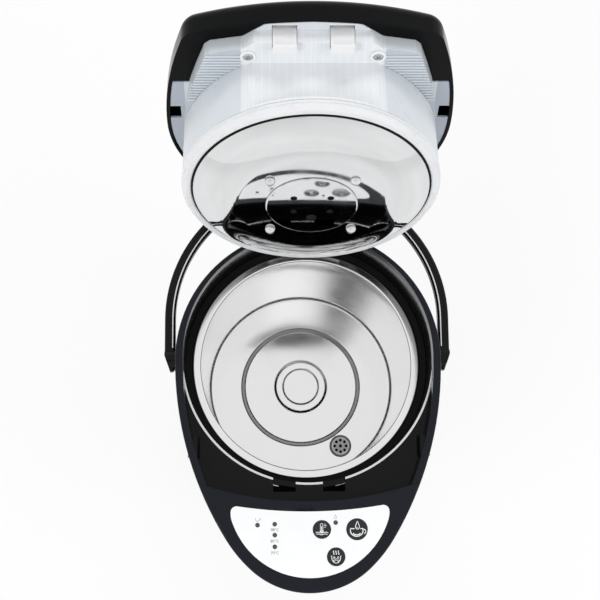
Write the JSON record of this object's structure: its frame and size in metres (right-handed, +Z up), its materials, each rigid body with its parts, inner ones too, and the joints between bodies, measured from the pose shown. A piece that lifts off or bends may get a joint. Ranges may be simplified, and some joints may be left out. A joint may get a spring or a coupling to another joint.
{
  "type": "electric thermo pot",
  "caption": "Electric hot-water pot with an open hinged lid, a steel inner pot, a spout nose with a button panel, a bail handle and a swivel base.",
  "frame": {"origin": "centre of the swivel base's pad, on the floor under the pot's axis", "axes": "+Z up, -Y towards the spout and the panel, +X to the right seen from the back of the camera side"},
  "size_m": [0.224, 0.3927, 0.4897],
  "materials": {
    "black_gloss": "gloss",
    "black_satin": "satin",
    "milky_plastic": "milky, translucent",
    "white_plastic": "satin",
    "label_white": "printed film",
    "polished_steel": "mirror",
    "pot_steel": "turned, bright",
    "sleeve_steel": "brushed",
    "zinc_steel": "plated",
    "aluminium": "cast",
    "silicone": "matt",
    "black_rubber": "matt",
    "clear_plastic": "clear",
    "brass": "bare",
    "board_green": "lacquered board",
    "magnet": "matt",
    "felt_foil": "insulation felt",
    "mica": "mica",
    "light_amber": "diffuse"
  },
  "bodies": {
    "body": {"base_housing": "black_gloss", "tie_rods": "zinc_steel", "inlet_socket": "black_satin", "inlet_pins": "brass", "power_board": "board_green", "pump_motor": "zinc_steel", "pump_housing": "white_plastic", "pump_cover": "white_plastic", "inlet_hose": "silicone", "outlet_fitting": "zinc_steel", "discharge_hose": "silicone", "inner_pot": "pot_steel", "pot_strainer": "zinc_steel", "heater_plate": "aluminium", "thermostat": "white_plastic", "temperature_probe": "zinc_steel", "warming_band": "mica", "insulation_jacket": "felt_foil", "outer_sleeve": "sleeve_steel", "front_column": "black_gloss", "level_window": "clear_plastic", "sight_tube": "clear_plastic", "tip_valve": "white_plastic", "outlet_elbow": "silicone", "spout_nozzle": "black_satin", "collar": "black_gloss", "rim_seal": "black_rubber", "hinge_pin": "zinc_steel", "beak_cover": "black_satin", "panel_overlay": "label_white", "control_board": "board_green", "tact_switches": "black_satin", "light_pipes": "light_amber", "handle_pivots": "black_gloss"},
    "lid": {"lid_shell": "black_gloss", "lid_liner": "milky_plastic", "lid_screws": "zinc_steel", "lid_ring": "milky_plastic", "lid_seal": "silicone", "lid_plate": "polished_steel", "plate_cap": "polished_steel", "plate_studs": "polished_steel", "air_valve": "silicone", "bellows": "black_rubber", "pump_spring": "zinc_steel", "steam_tube": "milky_plastic", "steam_cover": "black_satin"},
    "magnet": {"drive_magnet": "magnet"},
    "impeller": {"impeller": "white_plastic"},
    "tip_ball": {"tip_ball": "zinc_steel"},
    "handle": {"handle": "black_gloss"},
    "button_temperature": {"button_temperature": "black_gloss"},
    "button_dispense": {"button_dispense": "black_gloss"},
    "button_steam": {"button_steam": "black_gloss"},
    "pump_plate": {"pump_plate": "black_gloss"},
    "latch": {"latch_slider": "white_plastic"},
    "lever": {"lid_lever": "black_gloss"},
    "swivel_base": {"turntable": "black_satin", "rubber_pad": "black_rubber", "table_retainer": "black_satin"}
  },
  "joints": [
    {"name": "lid_hinge", "type": "hinge", "parent": "body", "child": "lid", "pos_m": [0, 0.1072, 0.2896], "axis": [1, 0, 0], "range_deg": [0, 110.3]},
    {"name": "handle_pivot", "type": "hinge", "parent": "body", "child": "handle", "pos_m": [0, 0, 0.279], "axis": [1, 0, 0], "range_deg": [-38, 1]},
    {"name": "pump_press", "type": "slide", "parent": "lid", "child": "pump_plate", "axis": [0, -0.9379, 0.3469], "range_m": [0, 0.018], "stiffness_N_per_m": 500, "springref_m": -0.012, "deforming": ["bellows", "pump_spring"]},
    {"name": "latch_slide", "type": "slide", "parent": "lid", "child": "latch", "axis": [0, 0.3469, 0.9379], "range_m": [0, 0.003]},
    {"name": "lever_tilt", "type": "hinge", "parent": "lid", "child": "lever", "pos_m": [0, 0.19948, 0.4572], "axis": [1, 0, 0], "range_deg": [-13.3, 0]},
    {"name": "button_temperature_press", "type": "slide", "parent": "body", "child": "button_temperature", "axis": [0, 0, -1], "range_m": [0, 0.0006], "stiffness_N_per_m": 2500, "springref_m": -0.0002},
    {"name": "button_dispense_press", "type": "slide", "parent": "body", "child": "button_dispense", "axis": [0, 0, -1], "range_m": [0, 0.0006], "stiffness_N_per_m": 2500, "springref_m": -0.0002},
    {"name": "button_steam_press", "type": "slide", "parent": "body", "child": "button_steam", "axis": [0, 0, -1], "range_m": [0, 0.0006], "stiffness_N_per_m": 2500, "springref_m": -0.0002},
    {"name": "base_swivel", "type": "hinge", "parent": "body", "child": "swivel_base", "pos_m": [0, 0, 0], "axis": [0, 0, 1], "continuous": true},
    {"name": "magnet_spin", "type": "hinge", "parent": "body", "child": "magnet", "pos_m": [0.037, -0.0565, 0.0367], "axis": [0, 0, 1], "continuous": true},
    {"name": "impeller_spin", "type": "hinge", "parent": "body", "child": "impeller", "pos_m": [0.037, -0.0565, 0.0412], "axis": [0, 0, 1], "continuous": true},
    {"name": "tip_ball_lift", "type": "slide", "parent": "body", "child": "tip_ball", "axis": [0, 0, 1], "range_m": [0, 0.004]}
  ],
  "couplings": [
    {"joint": "lever_tilt", "follows": "latch_slide", "rad_per_m": -77.376},
    {"joint": "impeller_spin", "follows": "magnet_spin", "ratio": 1}
  ]
}
